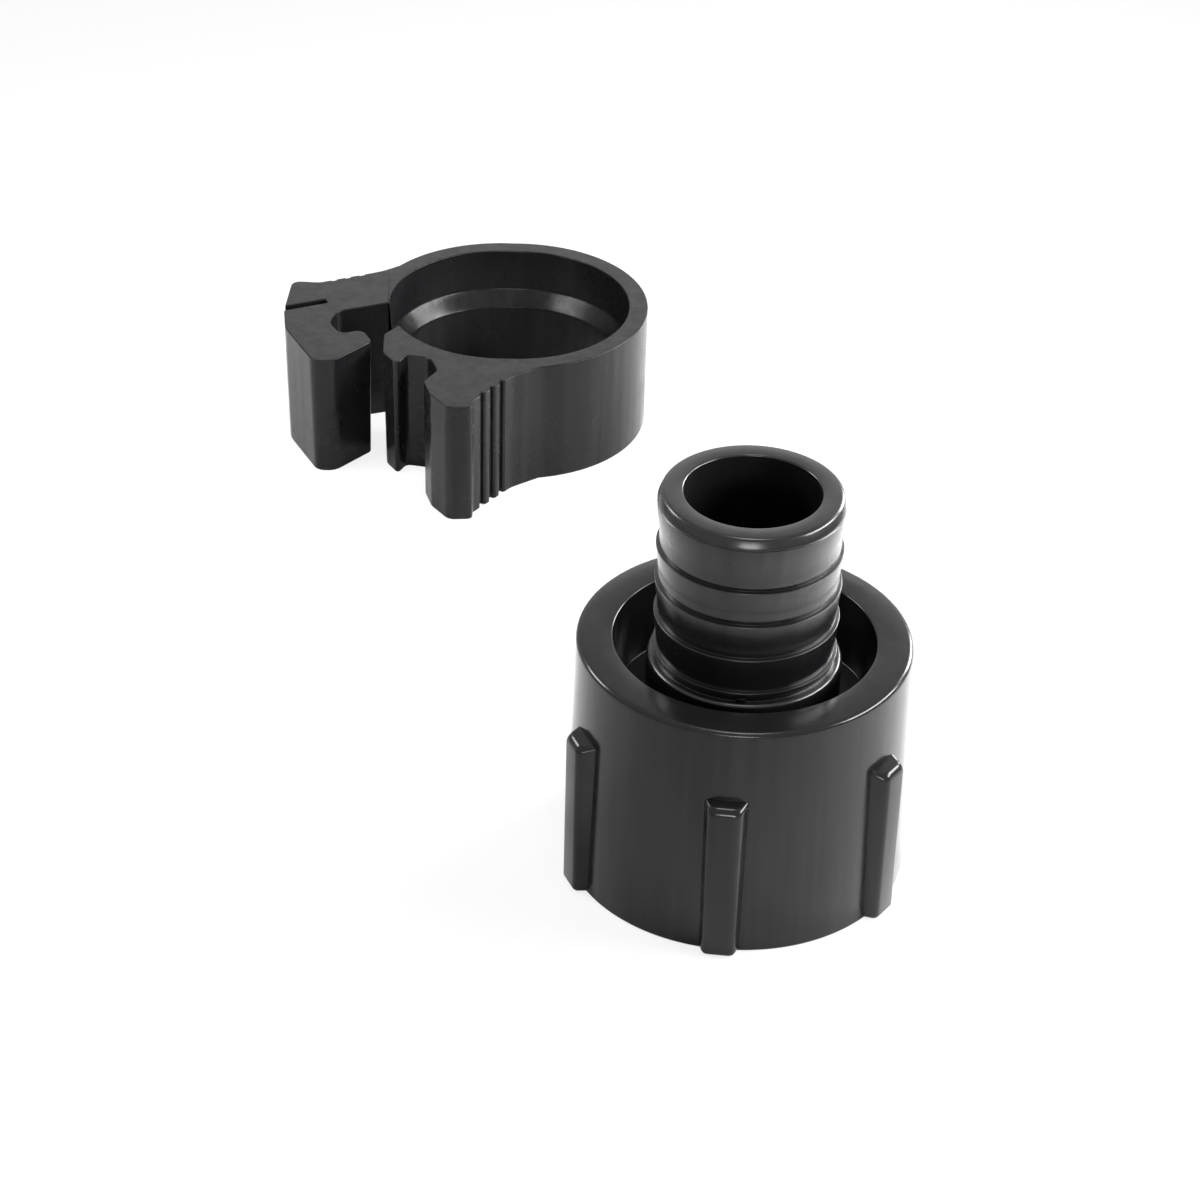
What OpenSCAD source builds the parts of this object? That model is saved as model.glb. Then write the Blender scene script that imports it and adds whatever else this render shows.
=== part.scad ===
// Swivel adapter that joins plastic water tube to a threaded pipe, with the snap clamp that grips the tube.
// A nut with an internal pipe thread turns freely on a barbed insert and presses a rubber washer on the pipe.
// The tube is pushed over the barbs, and the open clamp is squeezed shut around it.
// Millimetres. The origin is on the swivel axis at the nut's mouth, and +Z points along the barbs.

/* [Tube] */
// Outside diameter of the tube
tube_od = 22.2; // [20:0.1:24]
// Wall of the tube
tube_wall = 2.45; // [2.1:0.05:2.8]

/* [Barbed insert] */
// Diameter of the waterway
bore_d = 12.7; // [10:0.1:13.5]
// How far a barb's edge stands into the tube's wall
barb_bite = 0.05; // [0.05:0.05:0.4]
// How far a barb stands out from the shank
barb_depth = 0.3; // [0.2:0.05:0.8]
// Number of barbs
barb_count = 4; // [2:1:6]
// Distance from one barb to the next
barb_pitch = 3.64; // [3:0.01:5]
// Height of each barb
barb_land = 0.4; // [0.3:0.05:1]
// Extra height of a barb at its root, which slopes it for the tube
barb_lead = 0.1; // [0.05:0.05:0.5]
// Length of the nose from the foot of the last barb
nose_h = 5.8; // [5:0.1:8]
// Height of the bead at the nose's end
bead_h = 1.9; // [1.5:0.1:2.2]
// Radius of the rounded shoulder at the nose's end
nose_round = 0.6; // [0.4:0.1:1]
// Radius of a barb's rounded edge
barb_round = 0.12; // [0.04:0.02:0.14]
// Outside diameter of the hub that the nut turns on
hub_d = 18.4; // [18:0.1:20]
// Length of the hub from the flange to its collar edge
hub_h = 9.2; // [8:0.05:14]
// Radius of the collar's rounded edge
collar_round = 0.4; // [0.2:0.05:0.6]
// Length of the neck between the collar and the first barb
neck_h = 0.85; // [0.4:0.05:2]
// Thickness of the flange
flange_t = 2.7; // [2:0.1:3.5]

/* [Sealing washer] */
// Thickness of the washer
washer_t = 2.2; // [1.5:0.1:3]
// Gap between the washer's hole and the edge of the waterway
washer_hole_gap = 0.4; // [0.2:0.1:1]

/* [Swivel nut] */
// Major diameter of the pipe thread
thread_d = 26.6; // [26:0.1:28]
// Length of the pipe thread from the mouth
thread_l = 8.5; // [7:0.1:12]
// Depth of the relief beyond the thread, which the washer sits in
relief_d = 0.3; // [0.1:0.05:0.6]
// Thickness of the lip that bears on the flange
lip_t = 2.8; // [2:0.1:4]
// Depth of the round recess above the lip
recess_h = 7.7; // [5:0.1:9]
// Wall beside the recess
recess_wall = 3.47; // [2.5:0.01:4]
// Wall beside the thread at the closed end
nut_wall = 2.55; // [2:0.05:3.5]
// How much wider the nut is at its mouth
nut_draft = 0.6; // [0:0.05:1]
// Radius of the rounded outer edge
nut_round = 0.35; // [0.2:0.05:1]
// Chamfer at the mouth
mouth_chamfer = 0.4; // [0.2:0.05:0.5]

/* [Grip ribs] */
// Number of ribs
rib_count = 6; // [4:1:8]
// Direction of the first rib
rib_phase = 24; // [0:1:59]
// Height of the ribs
rib_h = 17.3; // [12:0.1:19]
// How far a rib's face stands out from the closed end's radius
rib_reach = 1.7; // [1:0.05:2.5]
// Width of a rib at its root
rib_root_w = 4.1; // [3:0.1:6]
// Width of a rib's face
rib_face_w = 2.9; // [2:0.1:4]
// How far the rib's top slopes down
rib_slope = 0.5; // [0.2:0.1:1.5]
// Radius of a rib's rounded edges
rib_round = 0.5; // [0.1:0.05:0.6]

/* [Clamp ring] */
// Height of the clamp
clamp_h = 14.7; // [12:0.1:18]
// Radial gap between the open clamp and the tube
clamp_gap = 0.65; // [0.4:0.05:1]
// How far the sprung ring is longer than it is wide, to each side
clamp_spring = 0.77; // [0.4:0.01:1]
// Width of the ledge between the two bores
ledge_w = 1.5; // [0.8:0.1:2]
// Height of the ledge's foot
ledge_z = 7.8; // [5:0.1:9]
// Drop of the sloping ledge
ledge_drop = 1.8; // [1:0.1:3]
// Wall of the ring beside the wider bore
clamp_wall = 2.2; // [1.8:0.1:3]

/* [Hook jaw] */
// How far the hook stands out from the ring
hook_reach = 9.9; // [9:0.05:12]
// How far the hook's end lies behind the ring's centre line
hook_back = 4.15; // [3.8:0.05:5]
// How far the hook's front lies before the centre line
hook_front = 14.9; // [14:0.1:16.5]
// How far the tip of the hook's lip lies before the centre line
lip_front = 10.1; // [9.5:0.1:10.5]
// How far the tip of the lip reaches past the ring's edge
lip_reach = 0.9; // [0.2:0.1:1.5]
// Depth of the pocket that the beak snaps into, from the ring's edge
pocket_depth = 4.4; // [4:0.1:5.2]
// How far the pocket's mouth lies before the centre line
pocket_front = 8.5; // [8:0.1:9]
// How far the pocket's back wall lies before the centre line
pocket_back = 3; // [2:0.1:3.4]
// Width of the relief slit
slit_w = 1; // [0.5:0.1:1.2]
// Length of the relief slit
slit_l = 5.2; // [3:0.1:6]

/* [Beak jaw] */
// How far the beak stands out from the ring
beak_reach = 3.2; // [2.5:0.1:4]
// How far the beak's tip drops
beak_drop = 4.4; // [4:0.1:5]
// Width of the throat between the beak and the arm
throat_w = 3.6; // [3.2:0.1:4]
// How far the arm's shoulder drops below the ring's edge
shoulder_drop = 8.1; // [7.6:0.1:8.6]
// How far the arm's end drops below the ring's edge
arm_drop = 13.8; // [13:0.1:15]
// Width of the arm's end
arm_w = 2.8; // [2.4:0.1:3.2]

/* [Grip grooves] */
// Number of grip grooves on each jaw
grip_count = 3; // [2:1:3]
// Distance from one grip groove to the next
grip_pitch = 1.75; // [1.5:0.05:1.9]
// Width of a grip groove
grip_w = 0.55; // [0.4:0.05:1]
// Depth of the grooves in front
grip_depth = 0.55; // [0.3:0.05:0.8]
// Depth of the grooves behind
back_grip_depth = 0.2; // [0.1:0.05:0.5]

/* [Place of the clamp] */
// Where the clamp lies, left of the swivel axis
clamp_left = 25.2; // [20:0.1:60]
// Where the clamp lies, behind the swivel axis
clamp_back = 83; // [50:0.5:100]

/* [Clearances] */
// Radial gap between the hub and the nut's lip
hub_clearance = 0.3; // [0.2:0.05:0.5]
// Gap between the lip and the flange, which lets the nut turn
swivel_clearance = 0.3; // [0.2:0.05:0.5]
// Gap between the washer and the thread's end
seat_clearance = 0.3; // [0.2:0.05:0.5]
// Radial gap between the thread and the flange
flange_clearance = 1.3; // [1.2:0.1:2]
// Radial gap between the chamber and the washer
washer_clearance = 0.4; // [0.3:0.05:0.8]

/* [Hidden] */
$fn = 96;
eps = 0.01;
bore_r = bore_d / 2;
tube_bore_r = tube_od / 2 - tube_wall;
barb_r = tube_bore_r + barb_bite;
root_r = barb_r - barb_depth;
hub_r = hub_d / 2;
thread_r = thread_d / 2;
flange_r = thread_r - flange_clearance;
washer_r = thread_r - washer_clearance;
nut_r = thread_r + nut_wall;
recess_r = nut_r - recess_wall;
lip_hole_r = hub_r + hub_clearance;
relief_r = thread_r + relief_d;
washer_foot = thread_l + seat_clearance;
flange_foot = washer_foot + washer_t;
flange_top = flange_foot + flange_t;
lip_foot = flange_top + swivel_clearance;
lip_top = lip_foot + lip_t;
nut_h = lip_top + recess_h;
collar_top = flange_top + hub_h;
barb_foot = collar_top + neck_h;
nose_foot = barb_foot + (barb_count - 1) * barb_pitch;
rim_z = nose_foot + nose_h;
clamp_r = tube_od / 2 + clamp_gap;
upper_r = clamp_r + ledge_w;
ring_r = upper_r + clamp_wall;
ring_mid_r = upper_r + clamp_wall / 2;
ledge_mid_r = clamp_r + ledge_w / 2;
// Directions on the ring where the hook and the beak leave it, and of the grooved flanks and the slit
HOOK_ROOT = 135;
MOUTH_END = 202;
BEAK_AT = 225;
BEAK_ROOT = 287;
FRONT_FLANK = 54;
BACK_FLANK = 25;
SLIT_TURN = 24;

function unit(v) = v / norm(v);
function polar(r, a) = [r * cos(a), r * sin(a)];
// Points of an arc about centre c, from angle a0 to a1
function arc(c, r, a0, a1, n = 6) = [for (i = [0:n]) c + polar(r, a0 + (a1 - a0) * i / n)];
// The shorter way round from one angle to another
function sweep(a) = a > 180 ? a - 360 : a < -180 ? a + 360 : a;
// The corner at b, rounded with radius r between its neighbours a and c
function corner(a, b, c, r, n) =
    r == 0 ? [b] :
    let (u = unit(a - b), v = unit(c - b), half = acos(u * v) / 2)
    let (centre = b + unit(u + v) * r / sin(half), reach = r / tan(half))
    let (p = b + u * reach - centre, q = b + v * reach - centre, a0 = atan2(p[1], p[0]))
    arc(centre, r, a0, a0 + sweep(atan2(q[1], q[0]) - a0), n);
// An outline of [point, radius] pairs with every corner rounded
function rounded(p, n = 6) = [
    for (i = [0:len(p) - 1])
        each corner(p[(i + len(p) - 1) % len(p)][0], p[i][0], p[(i + 1) % len(p)][0], p[i][1], n)
];

// One barb: a narrow ring with a square foot and a top that slopes for the tube
function barb(i) = let (z = barb_foot + i * barb_pitch) [
    [[root_r, z], 0],
    [[barb_r, z], barb_round],
    [[barb_r, z + barb_land], barb_round],
    [[root_r, z + barb_land + barb_lead], 0]
];

// The nose: the shank flares to a bead whose rounded shoulder takes the tube
function nose() = [
    [[root_r, rim_z - 2.2 * bead_h], nose_h],
    [[barb_r, rim_z - bead_h], nose_h],
    [[barb_r, rim_z], nose_round]
];

module barbed_insert() {
    bore_chamfer = barb_land / 2;
    color([0.09, 0.09, 0.1]) rotate_extrude() polygon(rounded(concat(
        [[[bore_r, flange_foot], 0], [[flange_r, flange_foot], 0], [[flange_r, flange_top], 0]],
        [[[hub_r, flange_top], 0], [[hub_r, collar_top], collar_round], [[root_r, collar_top], 0]],
        [for (i = [0:barb_count - 1]) each barb(i)],
        nose(),
        [[[bore_r + bore_chamfer, rim_z], 0], [[bore_r, rim_z - bore_chamfer], 0]]
    )));
}

module sealing_washer() {
    color([0.04, 0.04, 0.04]) translate([0, 0, washer_foot]) difference() {
        cylinder(h = washer_t, r = washer_r);
        translate([0, 0, -1]) cylinder(h = washer_t + 2, r = bore_r + washer_hole_gap);
    }
}

// One grip rib: a wedge-shaped bar with a flat face, rounded edges and a top that slopes outwards
module grip_rib() {
    face_r = nut_r + rib_reach;
    inside_r = thread_r + nut_wall / 2;
    intersection() {
        linear_extrude(rib_h) polygon(rounded([
            [[inside_r, -rib_root_w / 2], 0],
            [[nut_r, -rib_root_w / 2], 0],
            [[face_r, -rib_face_w / 2], rib_round],
            [[face_r, rib_face_w / 2], rib_round],
            [[nut_r, rib_root_w / 2], 0],
            [[inside_r, rib_root_w / 2], 0]
        ], 3));
        rotate_extrude() polygon(rounded([
            [[0, -1], 0], [[face_r + 1, -1], 0], [[face_r + 1, rib_h - 2 * rib_slope], 0],
            [[face_r, rib_h - 2 * rib_slope], 0], [[face_r, rib_h - rib_slope], rib_round],
            [[nut_r, rib_h], 0], [[nut_r, rib_h + 1], 0], [[0, rib_h + 1], 0]
        ], 3));
    }
}

module swivel_nut() {
    color([0.09, 0.09, 0.1]) difference() {
        union() {
            rotate_extrude() polygon(concat(
                [[0, 0], [nut_r + nut_draft, 0]],
                arc([nut_r - nut_round, nut_h - nut_round], nut_round, 0, 90),
                [[0, nut_h]]
            ));
            for (i = [0:rib_count - 1]) rotate(rib_phase + i * 360 / rib_count) grip_rib();
        }
        translate([0, 0, lip_top]) cylinder(h = recess_h + 1, r = recess_r);
        translate([0, 0, -1]) cylinder(h = nut_h, r = lip_hole_r);
        translate([0, 0, -1]) cylinder(h = thread_l + 2, r = thread_r);
        translate([0, 0, thread_l]) cylinder(h = lip_foot - thread_l, r = relief_r);
        translate([0, 0, -eps]) cylinder(
            h = mouth_chamfer + eps, r1 = thread_r + mouth_chamfer + eps, r2 = thread_r
        );
    }
}

// The sprung ring is a little longer than wide, so its round shapes are two that stand apart
module sprung() {
    for (side = [-1, 1]) translate([side * clamp_spring, 0, 0]) children();
}

// The jaw behind: a heavy hook whose lip points forwards, with a round pocket for the beak
function hook_edge() = [-clamp_spring - ring_r, 0];
function back_flank() = hook_edge() + [-0.64 * hook_reach, 0.96 * hook_back];
function hook_outline() = let (o = hook_edge())
    rounded([
        [polar(ring_mid_r, HOOK_ROOT - 13), 0], [polar(ring_r, HOOK_ROOT), 0],
        [o + [lip_reach, 1.76 * hook_back], hook_reach],
        [back_flank(), hook_back / 2],
        [o + [-0.97 * hook_reach, hook_back], hook_back / 4],
        [o + [-hook_reach, -0.72 * hook_back], 2 * hook_back],
        [o + [-0.945 * hook_reach, -hook_front / 2], hook_back],
        [o + [-0.56 * hook_reach, -hook_front], hook_reach / 6],
        [o + [-0.32 * hook_reach, -hook_front], hook_reach / 4.6],
        [o + [lip_reach, -lip_front], lip_front / 11],
        [o + [-lip_reach / 2, -0.85 * pocket_front], pocket_depth / 4],
        [o + [-0.65 * pocket_depth, -pocket_front], pocket_depth / 4],
        [o + [-pocket_depth, -(pocket_front + pocket_back) / 2], pocket_depth / 2],
        [o + [-0.8 * pocket_depth, -pocket_back], pocket_depth / 3],
        [o + [clamp_wall, -pocket_back / 5], 0], [[-ledge_mid_r, ledge_w / 2], 0]
    ]);

// The jaw in front: a beak that snaps into the pocket, a throat behind it and the arm that pliers push
function beak_root() = polar(ring_r, BEAK_AT);
function front_flank() = beak_root() + [throat_w + 1.5 * arm_w, -0.88 * arm_drop];
function flank_l() = (grip_count + 1) * grip_pitch;
function beak_outline() = let (o = beak_root(), foot = front_flank())
    rounded([
        [polar(ledge_mid_r, MOUTH_END), 0],
        [o + [-beak_reach, 0.6 * beak_drop], beak_reach / 2],
        [o + [-0.94 * beak_reach, -0.4 * beak_drop], beak_reach / 1.5],
        [o + [-0.4 * beak_reach, -beak_drop], beak_drop / 8],
        [o + [-throat_w / 12, -beak_drop / 2], beak_drop / 9],
        [o + [0.67 * throat_w, -0.6 * beak_drop], throat_w / 2.5],
        [o + [0.95 * throat_w, -0.68 * shoulder_drop], throat_w / 3],
        [o + [0.55 * throat_w, -shoulder_drop], throat_w / 6],
        [o + [0.8 * throat_w, -(shoulder_drop + arm_drop) / 2], arm_w / 1.5],
        [o + [throat_w + arm_w / 2, -arm_drop], arm_w / 1.9],
        [foot - [0, arm_w / 2], arm_w / 4], [foot, 0],
        [foot + polar(flank_l(), FRONT_FLANK), 1.7 * grip_pitch],
        [polar(ring_r, BEAK_ROOT), 0], [polar(ring_mid_r, BEAK_ROOT), 0], [polar(ring_mid_r, BEAK_AT + 20), 0]
    ]);

// Grooves across a jaw's flank, which runs from a point in a direction
module grip_grooves(from, direction, depth) {
    translate(from) rotate(direction)
        for (i = [1:grip_count]) translate([i * grip_pitch - grip_w / 2, -depth]) square([grip_w, 2 * depth]);
}

// The open side of the ring, between the hook's root and the beak
module mouth() {
    far = ring_r + hook_reach;
    polygon([
        [-ring_r / 2, ledge_w / 2], [-far, ledge_w / 2],
        [-far, -4 / 3 * pocket_front], [-ring_r, -pocket_front],
        polar(ring_r, BEAK_AT - 10), polar(ledge_mid_r, MOUTH_END)
    ]);
}

module clamp_plan() {
    slit_end = hook_edge() + [-hook_reach, -0.65 * hook_back];
    difference() {
        union() {
            difference() {
                sprung() circle(r = ring_r);
                mouth();
            }
            polygon(hook_outline());
            polygon(beak_outline());
        }
        grip_grooves(front_flank(), FRONT_FLANK, grip_depth);
        grip_grooves(back_flank(), BACK_FLANK, back_grip_depth);
        translate(slit_end) rotate(SLIT_TURN)
            translate([-slit_w, -slit_w / 2]) square([slit_l + slit_w, slit_w]);
    }
}

module clamp_ring() {
    color([0.12, 0.12, 0.13]) translate([-clamp_left, clamp_back, 0]) difference() {
        linear_extrude(clamp_h) clamp_plan();
        sprung() translate([0, 0, -1]) cylinder(h = clamp_h, r = clamp_r);
        sprung() translate([0, 0, ledge_z]) cylinder(h = ledge_drop, r1 = clamp_r, r2 = upper_r);
        sprung() translate([0, 0, ledge_z + ledge_drop]) cylinder(h = clamp_h, r = upper_r);
    }
}

swivel_nut();
barbed_insert();
sealing_washer();
clamp_ring();
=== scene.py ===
import math

import bmesh
import bpy
from mathutils import Matrix, Vector


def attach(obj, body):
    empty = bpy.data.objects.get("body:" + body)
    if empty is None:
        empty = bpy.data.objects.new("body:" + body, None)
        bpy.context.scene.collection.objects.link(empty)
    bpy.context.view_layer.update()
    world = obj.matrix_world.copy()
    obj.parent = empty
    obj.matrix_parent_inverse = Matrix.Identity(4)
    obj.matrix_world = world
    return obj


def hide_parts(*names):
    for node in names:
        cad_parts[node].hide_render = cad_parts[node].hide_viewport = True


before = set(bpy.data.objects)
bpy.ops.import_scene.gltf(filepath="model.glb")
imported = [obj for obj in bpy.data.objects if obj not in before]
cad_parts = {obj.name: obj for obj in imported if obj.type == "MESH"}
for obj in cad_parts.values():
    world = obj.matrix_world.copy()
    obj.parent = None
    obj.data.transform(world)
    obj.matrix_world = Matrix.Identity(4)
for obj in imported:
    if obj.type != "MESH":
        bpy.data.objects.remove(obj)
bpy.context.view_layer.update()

MM = 0.001

# Sizes in millimetres, the same as in the part's source
BORE_R, SHANK_R, BARB_R, HUB_R, FLANGE_R = 6.35, 8.4, 8.7, 9.2, 12.0
THREAD_R, RELIEF_R, LIP_HOLE_R, RECESS_R = 13.3, 13.6, 9.5, 12.38
NUT_R, MOUTH_R, WASHER_R, WASHER_HOLE_R = 15.85, 16.45, 12.9, 6.75
THREAD_L, WASHER_FOOT, FLANGE_FOOT, FLANGE_TOP = 8.5, 8.8, 11.0, 13.7
LIP_FOOT, LIP_TOP, NUT_H = 14.0, 16.8, 24.5
COLLAR_TOP, BARB_FOOT, BARB_PITCH, RIM_Z = 22.9, 23.75, 3.64, 40.47
BARB_COUNT, BARB_TAPER, RIB_COUNT, RIB_PHASE = 4, 2.4, 6, 24
RIB_H, RIB_REACH, RIB_ROOT_W, RIB_FACE_W, RIB_SLOPE = 17.3, 1.7, 4.1, 2.9, 0.5
CLAMP_H, CLAMP_X, CLAMP_Y, CLAMP_SPRING, UPPER_R = 14.7, -25.2, 83.0, 0.77, 13.25

# Sizes in millimetres of what only the visual model has
THREAD_PITCH, THREAD_TURNS, THREAD_START, CREST_R = 25.4 / 14, 3.7, 0.98, 12.2
THREAD_SINK, THREAD_FOOT_W, THREAD_CREST_W = 0.06, 1.48, 0.26
RIB_INNER_R, RIB_FOOT, RIB_TOP_ROUND, RIB_SIDE_ROUND = 14.4, 0.04, 0.85, 0.55
FIRST_TAPER_GAP, LEDGE_Z, DIP_Z, DIP_END, DIP_DEPTH = 0.4, 0.15, 0.22, 0.55, 0.12
NOSE_FOOT, NOSE_TOP, MARK_FOOT, MARK_Z, MARK_TOP, MARK_DEPTH = 36.4, 38.57, 39.28, 39.34, 39.42, 0.06
SHOULDER_FOOT, SHOULDER_INSET = 39.55, 0.4
NUB_W, NUB_L, NUB_ROUND, NUB_TURN = 0.5, 0.9, 0.08, -93.5
DRAFT_RING, DRAFT_JAWS, JAWS_START, JAWS_SPAN = 0.05, 0.2, 6, 8
LIP_ROUND, EDGE_ROUND = 0.36, 0.14

# Noise cells per metre, and how deep each noise presses into the surface, in metres
SMUDGE, GRAIN, FLOW, RUBBER_GRAIN, RUBBER_PATCH = 160, 2600, 900, 1800, 220
SMUDGE_DEEP, GRAIN_DEEP, FLOW_DEEP, RUBBER_DEEP = 6e-5, 1.2e-5, 4e-5, 3e-5
GLOSSY, SATIN = (0.0055, 0.0055, 0.006), (0.006, 0.006, 0.0065)


# Camera
def make_camera():
    """Stands in front and above, as in the photograph."""
    pitch, roll = math.radians(33.36), math.radians(1.544)
    distance, across, lift = 313.3 * MM, -13.671 * MM, 23.469 * MM
    forward = Vector((0, math.cos(pitch), -math.sin(pitch)))
    right = Vector((1, 0, 0))
    up = Vector((0, math.sin(pitch), math.cos(pitch)))
    place = -distance * forward + across * right + lift * up
    side = math.cos(roll) * right + math.sin(roll) * up
    top = -math.sin(roll) * right + math.cos(roll) * up
    data = bpy.data.cameras.new("camera")
    data.sensor_width = 36
    data.lens = 96
    data.clip_start, data.clip_end = 0.01, 20
    camera = bpy.data.objects.new("camera", data)
    bpy.context.scene.collection.objects.link(camera)
    turn = Matrix((side, top, -forward)).transposed().to_4x4()
    camera.matrix_world = Matrix.Translation(place) @ turn
    bpy.context.scene.camera = camera


# Shaping
def turned(outline, steps=192):
    """A ring turned around the swivel axis from a closed outline of (radius, height, rounding)."""
    form = bmesh.new()
    corners = [form.verts.new((r * MM, 0, z * MM)) for r, z, _ in outline]
    form.faces.new(corners)
    for size in sorted({e for _, _, e in outline if e}):
        chosen = [v for v, (_, _, e) in zip(corners, outline) if e == size]
        bmesh.ops.bevel(form, geom=chosen, offset=size * MM, offset_type="OFFSET", segments=5,
                        profile=0.5, affect="VERTICES", clamp_overlap=False, material=-1)
    bmesh.ops.delete(form, geom=form.faces[:], context="FACES_ONLY")
    bmesh.ops.spin(form, geom=form.verts[:] + form.edges[:], cent=(0, 0, 0), axis=(0, 0, 1),
                   dvec=(0, 0, 0), angle=math.tau, steps=steps, use_merge=True)
    bmesh.ops.recalc_face_normals(form, faces=form.faces[:])
    return form


def joined(form, other, turn=0.0):
    """Adds another closed shape to a form, turned around the swivel axis."""
    before = len(form.verts)
    mesh = bpy.data.meshes.new("part")
    other.to_mesh(mesh)
    form.from_mesh(mesh)
    bpy.data.meshes.remove(mesh)
    form.verts.ensure_lookup_table()
    bmesh.ops.rotate(form, verts=form.verts[before:], cent=(0, 0, 0), matrix=Matrix.Rotation(turn, 3, "Z"))


def finished(form, name, body, node, material, angle=34):
    """Makes the form an object with smooth faces, sharp where they meet at more than an angle."""
    for face in form.faces:
        face.smooth = True
    for edge in form.edges:
        edge.smooth = len(edge.link_faces) != 2 or edge.calc_face_angle() < math.radians(angle)
    mesh = bpy.data.meshes.new(name)
    form.to_mesh(mesh)
    form.free()
    mesh.materials.append(material)
    obj = bpy.data.objects.new(name, mesh)
    bpy.context.scene.collection.objects.link(obj)
    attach(obj, body)
    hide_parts(node)
    return obj


# Materials
def nodes_of(material):
    material.use_nodes = True
    return material.node_tree.nodes, material.node_tree.links


def noise_on(nodes, links, scale, stretch=(1, 1, 1), detail=4.0):
    """Noise on the piece's own coordinates, stretched along an axis for flow and drag marks."""
    place = nodes.new("ShaderNodeTexCoord")
    mapping = nodes.new("ShaderNodeMapping")
    mapping.inputs["Scale"].default_value = stretch
    noise = nodes.new("ShaderNodeTexNoise")
    noise.inputs["Scale"].default_value = scale
    noise.inputs["Detail"].default_value = detail
    noise.inputs["Roughness"].default_value = 0.55
    links.new(place.outputs["Object"], mapping.inputs["Vector"])
    links.new(mapping.outputs["Vector"], noise.inputs["Vector"])
    return noise.outputs["Fac"]


def spread(nodes, links, value, low, high, dark, light):
    """Maps the noise between low and high onto a range of values."""
    ramp = nodes.new("ShaderNodeMapRange")
    ramp.inputs["From Min"].default_value = low
    ramp.inputs["From Max"].default_value = high
    ramp.inputs["To Min"].default_value = dark
    ramp.inputs["To Max"].default_value = light
    links.new(value, ramp.inputs["Value"])
    return ramp.outputs["Result"]


def bumped(nodes, links, shader, heights):
    """Chains bumps of (height, strength, depth in metres) into the shader's normal."""
    normal = None
    for height, strength, depth in heights:
        bump = nodes.new("ShaderNodeBump")
        bump.inputs["Strength"].default_value = strength
        bump.inputs["Distance"].default_value = depth
        links.new(height, bump.inputs["Height"])
        if normal:
            links.new(normal, bump.inputs["Normal"])
        normal = bump.outputs["Normal"]
    links.new(normal, shader.inputs["Normal"])


def moulded_black(name, colour, gloss, shine, grain, streak):
    """Black moulded plastic: smudged gloss, fine grain and drag marks along the mould's opening."""
    material = bpy.data.materials.new(name)
    nodes, links = nodes_of(material)
    shader = nodes["Principled BSDF"]
    smudge = noise_on(nodes, links, SMUDGE, detail=5)
    fine = noise_on(nodes, links, GRAIN, detail=3)
    flow = noise_on(nodes, links, FLOW, stretch=(1, 1, 0.04), detail=3)
    tint = nodes.new("ShaderNodeMix")
    tint.data_type = "RGBA"
    tint.inputs[6].default_value = (*[c * 0.7 for c in colour], 1)
    tint.inputs[7].default_value = (*[c * 1.5 for c in colour], 1)
    links.new(smudge, tint.inputs[0])
    links.new(tint.outputs[2], shader.inputs["Base Color"])
    links.new(spread(nodes, links, smudge, 0.3, 0.7, gloss[0], gloss[1]), shader.inputs["Roughness"])
    links.new(spread(nodes, links, flow, 0.3, 0.7, shine[0], shine[1]), shader.inputs["Specular IOR Level"])
    bumped(nodes, links, shader,
           [(smudge, 0.12, SMUDGE_DEEP), (fine, grain, GRAIN_DEEP), (flow, streak, FLOW_DEEP)])
    return material


def washer_black(name):
    """Matt black rubber with paler patches."""
    material = bpy.data.materials.new(name)
    nodes, links = nodes_of(material)
    shader = nodes["Principled BSDF"]
    fine = noise_on(nodes, links, RUBBER_GRAIN, detail=6)
    patch = noise_on(nodes, links, RUBBER_PATCH, detail=3)
    tint = nodes.new("ShaderNodeMix")
    tint.data_type = "RGBA"
    tint.inputs[6].default_value = (0.010, 0.010, 0.010, 1)
    tint.inputs[7].default_value = (0.026, 0.025, 0.024, 1)
    links.new(patch, tint.inputs[0])
    links.new(tint.outputs[2], shader.inputs["Base Color"])
    links.new(spread(nodes, links, patch, 0.3, 0.7, 0.62, 0.8), shader.inputs["Roughness"])
    bumped(nodes, links, shader, [(fine, 0.5, RUBBER_DEEP)])
    return material


# Swivel nut
def grip_rib():
    """One wedge-shaped rib along +X with rounded edges and a sloping top."""
    rib = bmesh.new()
    root, face = RIB_ROOT_W / 2, RIB_FACE_W / 2
    plan = [(RIB_INNER_R, -root), (NUT_R, -root), (NUT_R + RIB_REACH, -face),
            (NUT_R + RIB_REACH, face), (NUT_R, root), (RIB_INNER_R, root)]
    outside = (NUT_R + 0.1) * MM
    foot = rib.faces.new([rib.verts.new((x * MM, y * MM, RIB_FOOT * MM)) for x, y in plan])
    grown = bmesh.ops.extrude_face_region(rib, geom=[foot])["geom"]
    top = [v for v in grown if isinstance(v, bmesh.types.BMVert)]
    bmesh.ops.translate(rib, verts=top, vec=(0, 0, RIB_H * MM))
    for vert in top:
        if vert.co.x > outside:
            vert.co.z -= RIB_SLOPE * MM
    bmesh.ops.recalc_face_normals(rib, faces=rib.faces[:])
    for low, size in ((1, RIB_TOP_ROUND), (0, RIB_SIDE_ROUND)):
        outer = [e for e in rib.edges if max(v.co.x for v in e.verts) > outside
                 and min(v.co.z for v in e.verts) > low * RIB_H / 2 * MM and e.calc_face_angle() > 0.5]
        bmesh.ops.bevel(rib, geom=outer, offset=size * MM, offset_type="OFFSET", segments=5, profile=0.5,
                        affect="EDGES", clamp_overlap=True, material=-1)
    bmesh.ops.remove_doubles(rib, verts=rib.verts[:], dist=0.002 * MM)
    return rib


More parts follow.
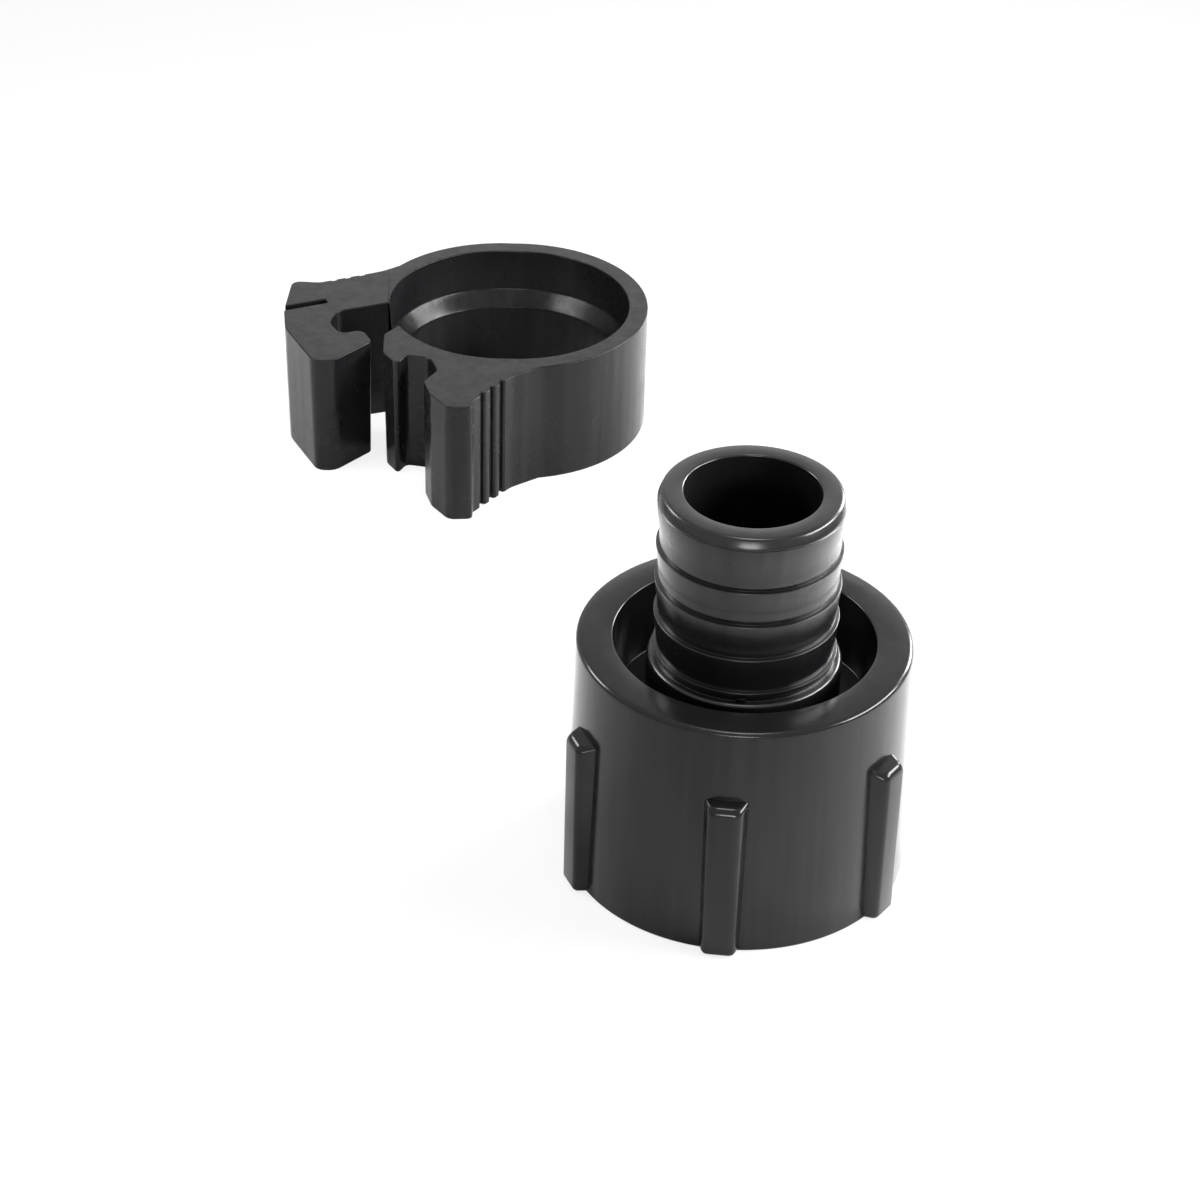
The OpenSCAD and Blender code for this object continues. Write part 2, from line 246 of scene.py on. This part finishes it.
def thread_ridge():
    """The pipe thread's ridge, a right-handed helix on the nut's bore, faded at both ends."""
    per_turn = 72
    root_r, foot, crest = THREAD_R + THREAD_SINK, THREAD_FOOT_W / 2, THREAD_CREST_W / 2
    ridge = bmesh.new()
    section = [(root_r, -foot), (CREST_R, -crest), (CREST_R, crest), (root_r, foot)]
    ring = [ridge.verts.new((r * MM, 0, (THREAD_START + z) * MM)) for r, z in section]
    loop = [ridge.edges.new((ring[i], ring[(i + 1) % 4])) for i in range(4)]
    steps = int(THREAD_TURNS * per_turn)
    bmesh.ops.spin(ridge, geom=ring + loop, cent=(0, 0, 0), axis=(0, 0, 1),
                   dvec=(0, 0, THREAD_PITCH * THREAD_TURNS / steps * MM), angle=math.tau * THREAD_TURNS,
                   steps=steps, use_merge=False)
    for index, vert in enumerate(ridge.verts):
        step = index // 4
        near_end = min(step, steps - step) / (per_turn / 9)
        if near_end < 1:
            radius = math.hypot(vert.co.x, vert.co.y)
            grow = 1 + (THREAD_R * 1.005 * MM / radius - 1) * (1 - near_end)
            if grow > 1:
                vert.co.x *= grow
                vert.co.y *= grow
    open_ends = [e for e in ridge.edges if len(e.link_faces) == 1]
    bmesh.ops.holes_fill(ridge, edges=open_ends, sides=4)
    bmesh.ops.recalc_face_normals(ridge, faces=ridge.faces[:])
    return ridge


def make_nut(material):
    """The turned shell with its lip and recess, the grip ribs and the thread's ridge."""
    form = turned([
        (THREAD_R + 0.4, 0, 0.1), (THREAD_R, 0.4, 0.1), (THREAD_R, THREAD_L, 0.05), (RELIEF_R, THREAD_L, 0.05),
        (RELIEF_R, LIP_FOOT, 0.2), (LIP_HOLE_R, LIP_FOOT, 0.15), (LIP_HOLE_R, LIP_TOP, 0.15),
        (RECESS_R, LIP_TOP, 0.15), (RECESS_R, NUT_H, 0.18), (NUT_R, NUT_H, 0.5), (MOUTH_R, 0, 0.25)])
    rib = grip_rib()
    for i in range(RIB_COUNT):
        joined(form, rib, math.radians(RIB_PHASE + i * 360 / RIB_COUNT))
    rib.free()
    ridge = thread_ridge()
    joined(form, ridge)
    ridge.free()
    return finished(form, "nut_shell", "nut", "swivel_nut", material)


# Barbed insert
def make_insert(material):
    """Flange, hub and collar, sawtooth barbs, the nose with its shoulder, and the nub on the collar."""
    outline = [(BORE_R, FLANGE_FOOT, 0.15), (FLANGE_R, FLANGE_FOOT, 0.2), (FLANGE_R, FLANGE_TOP, 0.2),
               (HUB_R, FLANGE_TOP, 0.15), (HUB_R, COLLAR_TOP, 0.42), (SHANK_R, COLLAR_TOP, 0.08)]
    for i in range(BARB_COUNT):
        z = BARB_FOOT + i * BARB_PITCH
        taper = BARB_TAPER if i else BARB_FOOT - COLLAR_TOP - FIRST_TAPER_GAP
        outline += [(SHANK_R, z - taper, 0.3), (BARB_R, z + LEDGE_Z, 0.08),
                    (SHANK_R - DIP_DEPTH, z + DIP_Z, 0.05), (SHANK_R, z + DIP_END, 0.2)]
    outline += [(SHANK_R, NOSE_FOOT, 0.4), (BARB_R, NOSE_TOP, 0.45), (BARB_R, MARK_FOOT, 0),
                (BARB_R - MARK_DEPTH, MARK_Z, 0), (BARB_R, MARK_TOP, 0), (BARB_R, SHOULDER_FOOT, 0.3),
                (BARB_R - SHOULDER_INSET, RIM_Z, 0.3), (BORE_R, RIM_Z, 0.2)]
    form = turned(outline)
    nub = bmesh.new()
    bmesh.ops.create_cube(nub, size=1)
    bmesh.ops.scale(nub, verts=nub.verts[:], vec=(NUB_W * MM, NUB_L * MM, NUB_W * MM))
    bmesh.ops.bevel(nub, geom=nub.edges[:], offset=NUB_ROUND * MM, offset_type="OFFSET", segments=2,
                    profile=0.5, affect="EDGES", clamp_overlap=True, material=-1)
    bmesh.ops.translate(nub, verts=nub.verts[:], vec=((SHANK_R + 0.12) * MM, 0, (COLLAR_TOP + 0.22) * MM))
    joined(form, nub, math.radians(NUB_TURN))
    nub.free()
    return finished(form, "insert_body", "insert", "barbed_insert", material)


def make_washer(material):
    form = turned([(WASHER_HOLE_R, WASHER_FOOT, 0.2), (WASHER_R, WASHER_FOOT, 0.2),
                   (WASHER_R, FLANGE_FOOT, 0.2), (WASHER_HOLE_R, FLANGE_FOOT, 0.2)], steps=128)
    return finished(form, "flat_washer", "insert", "sealing_washer", material)


# Clamp ring
def make_clamp(material):
    """The solid with a moulded draft towards its foot and rounded edges."""
    form = bmesh.new()
    form.from_mesh(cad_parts["clamp_ring"].data)
    bmesh.ops.remove_doubles(form, verts=form.verts[:], dist=1e-6)
    bmesh.ops.dissolve_limit(form, angle_limit=0.002, verts=form.verts[:], edges=form.edges[:])
    moves = []
    for vert in form.verts:
        walls = [f.normal for f in vert.link_faces if abs(f.normal.z) < 0.3]
        x, y = vert.co.x / MM - CLAMP_X, vert.co.y / MM - CLAMP_Y
        beside = math.hypot(abs(x) - CLAMP_SPRING if abs(x) > CLAMP_SPRING else 0, y)
        if not walls or beside < UPPER_R + 0.1:
            continue
        side = sum(walls, Vector()).to_2d()
        jaws = min(max((-x - JAWS_START) / JAWS_SPAN, 0), 1)
        draft = (DRAFT_RING + DRAFT_JAWS * jaws) * (1 - vert.co.z / (CLAMP_H * MM)) * MM
        moves.append((vert, side.normalized() * draft))
    for vert, move in moves:
        vert.co.x -= move.x
        vert.co.y -= move.y
    form.normal_update()
    lips = [e for e in form.edges if e.is_convex and e.calc_face_angle() > math.radians(60)
            and abs(e.verts[0].co.z - e.verts[1].co.z) > CLAMP_H / 2 * MM
            and max(v.co.y for v in e.verts) < (CLAMP_Y - UPPER_R - 3) * MM]
    bmesh.ops.bevel(form, geom=lips, offset=LIP_ROUND * MM, offset_type="OFFSET", segments=4, profile=0.5,
                    affect="EDGES", clamp_overlap=False, material=-1)
    sharp = [e for e in form.edges if len(e.link_faces) == 2 and e.calc_face_angle() > math.radians(32)]
    bmesh.ops.bevel(form, geom=sharp, offset=EDGE_ROUND * MM, offset_type="OFFSET", segments=3, profile=0.5,
                    affect="EDGES", clamp_overlap=False, material=-1)
    obj = finished(form, "snap_clamp", "nut", "clamp_ring", material, angle=50)
    even = obj.modifiers.new("even_shading", "WEIGHTED_NORMAL")
    even.keep_sharp = True
    return obj


# Floor, backdrop and lights
def white_to_the_eye(nodes, links, lit, share, out):
    """Mixes plain white into what the camera sees of a lit surface."""
    path = nodes.new("ShaderNodeLightPath")
    part = nodes.new("ShaderNodeMath")
    part.operation = "MULTIPLY"
    part.inputs[1].default_value = share
    links.new(path.outputs["Is Camera Ray"], part.inputs[0])
    white = nodes.new("ShaderNodeEmission")
    white.inputs["Color"].default_value = (1, 1, 1, 1)
    white.inputs["Strength"].default_value = 1
    mix = nodes.new("ShaderNodeMixShader")
    links.new(part.outputs[0], mix.inputs[0])
    links.new(lit, mix.inputs[1])
    links.new(white.outputs[0], mix.inputs[2])
    links.new(mix.outputs[0], out)


def make_floor():
    """A pale floor that keeps the soft shadow."""
    material = bpy.data.materials.new("pale_floor")
    nodes, links = nodes_of(material)
    nodes.clear()
    matt = nodes.new("ShaderNodeBsdfDiffuse")
    matt.inputs["Color"].default_value = (0.9, 0.9, 0.9, 1)
    out = nodes.new("ShaderNodeOutputMaterial")
    white_to_the_eye(nodes, links, matt.outputs[0], 0.8, out.inputs["Surface"])
    bpy.ops.mesh.primitive_plane_add(size=6)
    floor = bpy.context.object
    floor.name = "floor"
    floor.data.materials.append(material)


def make_world():
    """White where it is seen or mirrored, and a weak light otherwise."""
    world = bpy.data.worlds.new("studio")
    bpy.context.scene.world = world
    nodes, links = nodes_of(world)
    nodes.clear()
    sky = nodes.new("ShaderNodeBackground")
    sky.inputs["Color"].default_value = (1, 1, 1, 1)
    sky.inputs["Strength"].default_value = 0.15
    out = nodes.new("ShaderNodeOutputWorld")
    path = nodes.new("ShaderNodeLightPath")
    seen = nodes.new("ShaderNodeMath")
    seen.operation = "MAXIMUM"
    links.new(path.outputs["Is Camera Ray"], seen.inputs[0])
    links.new(path.outputs["Is Glossy Ray"], seen.inputs[1])
    white = nodes.new("ShaderNodeBackground")
    white.inputs["Color"].default_value = (1, 1, 1, 1)
    white.inputs["Strength"].default_value = 1
    mix = nodes.new("ShaderNodeMixShader")
    links.new(seen.outputs[0], mix.inputs[0])
    links.new(sky.outputs[0], mix.inputs[1])
    links.new(white.outputs[0], mix.inputs[2])
    links.new(mix.outputs[0], out.inputs["Surface"])


def softbox(name, place, aim, size, power):
    """A rectangular light at a place, turned to an aim; metres and watts."""
    data = bpy.data.lights.new(name, "AREA")
    data.shape = "RECTANGLE"
    data.size, data.size_y = size
    data.energy = power
    lamp = bpy.data.objects.new(name, data)
    bpy.context.scene.collection.objects.link(lamp)
    lamp.location = place
    lamp.visible_camera = False
    lamp.rotation_mode = "QUATERNION"
    lamp.rotation_quaternion = (Vector(aim) - lamp.location).to_track_quat("-Z", "Y")


make_camera()
make_nut(moulded_black("nut_black", GLOSSY, (0.12, 0.22), (0.23, 0.29), 0.25, 0.1))
make_insert(moulded_black("insert_black", GLOSSY, (0.18, 0.3), (0.34, 0.42), 0.25, 0.05))
make_washer(washer_black("washer_black"))
make_clamp(moulded_black("clamp_black", SATIN, (0.2, 0.32), (0.11, 0.18), 0.4, 0.35))

make_floor()
make_world()
softbox("top_softbox", (0, -0.05, 0.9), (0, 0, 0), (0.25, 0.25), 2.4)
softbox("front_softbox", (-0.04, -0.8, 0.22), (0, 0, 0.04), (0.3, 0.15), 2.6)
softbox("right_softbox", (0.14, 0, 0.1), (0.03, 0, 0.01), (0.13, 0.045), 0.55)
softbox("left_softbox", (-0.11, 0.05, 0.09), (-0.08, 0.06, 0), (0.05, 0.05), 0.14)
softbox("far_right_softbox", (0.09, 0.1, 0.07), (0, 0.08, 0), (0.06, 0.06), 0.3)
softbox("back_softbox", (0.42, 1.45, 0.62), (0, 0.05, 0), (1.7, 0.5), 3.0)

scene = bpy.context.scene
scene.view_settings.view_transform = "Standard"
